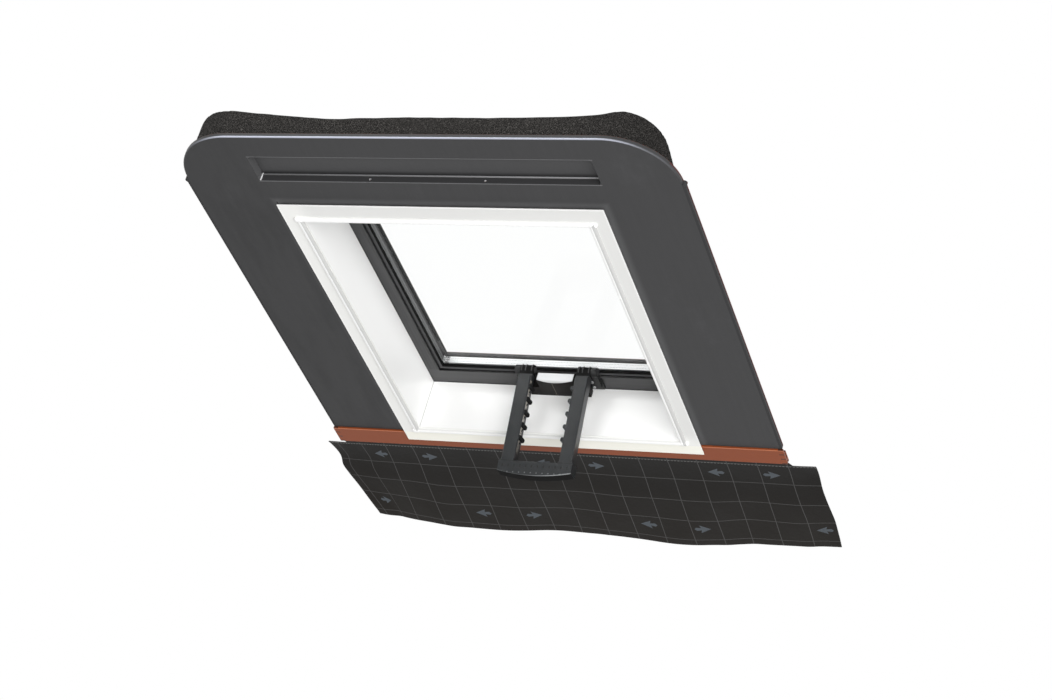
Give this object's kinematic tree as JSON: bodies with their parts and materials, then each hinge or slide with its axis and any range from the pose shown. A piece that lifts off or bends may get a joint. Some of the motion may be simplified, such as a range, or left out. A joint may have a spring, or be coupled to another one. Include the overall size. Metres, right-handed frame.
{
  "type": "roof window",
  "caption": "Top-hung roof window for a tiled roof, with an insulating glass sash, a white lining, a flashing plate with foam strip and flexible apron, and a toothed U-shaped stay.",
  "frame": {"origin": "centre of the clear opening, on the underside of the flashing plate, which lies on the roof", "axes": "+X to the right seen from outside, +Y up the slope of the roof, +Z out of the roof; the room is on the -Z side"},
  "size_m": [0.86, 1.0109, 0.2274],
  "materials": {
    "flashing": "finely textured, satin",
    "lining": "smooth, semi-gloss",
    "insulation": "bead foam",
    "seal": "matt",
    "foam": "open-cell foam",
    "apron": "matt, with a printed grid",
    "clamp": "satin paint",
    "fixings": "plain zinc",
    "hinge": "satin dark coating",
    "sash": "satin",
    "cap": "satin",
    "glass": "clear",
    "spacer": "mill finish with small holes",
    "packer": "satin",
    "stay": "fine grain",
    "catch": "satin",
    "catch_face": "smooth"
  },
  "bodies": {
    "frame": {"flashing_frame": "flashing", "curb_insulation": "insulation", "inner_lining": "lining", "curb_seal": "seal", "foam_strip": "foam", "apron": "apron", "apron_clamp": "clamp", "clamp_screws": "fixings", "hinge_base_left": "hinge", "hinge_base_right": "hinge", "hinge_base_screws": "fixings", "catch_block": "catch", "catch_label": "catch_face", "catch_screws": "fixings"},
    "sash": {"sash_frame": "sash", "sash_cap": "cap", "cap_screws": "fixings", "glass_inner": "glass", "glass_outer": "glass", "glass_spacer": "spacer", "glass_edge_seal": "seal", "inner_glazing_seal": "seal", "outer_glazing_seal": "seal", "setting_blocks": "packer", "hinge_arm_left": "hinge", "hinge_arm_right": "hinge", "hinge_arm_screws": "fixings", "hinge_pin_left": "fixings", "hinge_pin_right": "fixings", "stay_bracket_left": "stay", "stay_bracket_right": "stay", "stay_bracket_screws": "fixings", "stay_pin_left": "fixings", "stay_pin_right": "fixings"},
    "stay": {"stay": "stay"}
  },
  "joints": [
    {"name": "sash_hinge", "type": "hinge", "parent": "frame", "child": "sash", "pos_m": [0, 0.318, 0.076], "axis": [-1, 0, 0], "range_deg": [0, 50]},
    {"name": "stay_swing", "type": "hinge", "parent": "sash", "child": "stay", "pos_m": [-0.008, -0.228, 0.0855], "axis": [-1, 0, 0], "range_deg": [-75, 0]}
  ],
  "couplings": [
    {"joint": "stay_swing", "follows": "sash_hinge", "ratio": -1.5}
  ]
}
